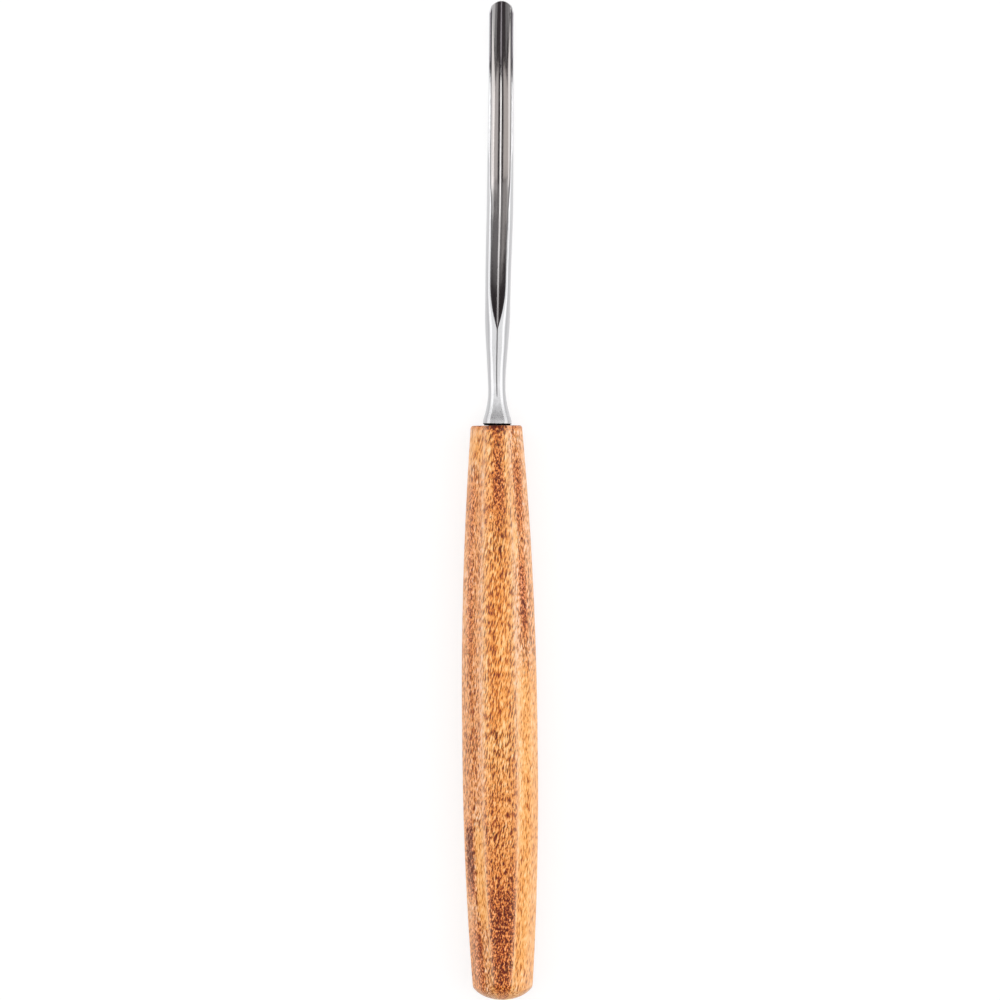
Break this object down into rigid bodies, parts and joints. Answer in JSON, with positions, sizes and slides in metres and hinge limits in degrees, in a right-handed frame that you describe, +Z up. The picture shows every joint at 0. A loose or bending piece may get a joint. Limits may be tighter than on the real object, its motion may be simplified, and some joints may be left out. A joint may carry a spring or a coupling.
{
  "type": "bent gouge",
  "caption": "Long-bent wood-carving gouge: a fluted steel blade with a flared bolster, its tang set in an octagonal barrel-shaped wooden handle.",
  "frame": {"origin": "middle of the flat land under the belly of the handle, where the tool lies on a bench", "axes": "+Y along the tool towards the cutting edge, +Z up out of the open flute, +X across the tool"},
  "size_m": [0.0212, 0.28, 0.0211],
  "materials": {
    "blade_steel": "forged tool steel, ground and polished lengthwise",
    "handle_wood": "beech, stained tan and lacquered"
  },
  "bodies": {
    "root": {"gouge_blade": "blade_steel", "handle": "handle_wood"}
  },
  "joints": []
}
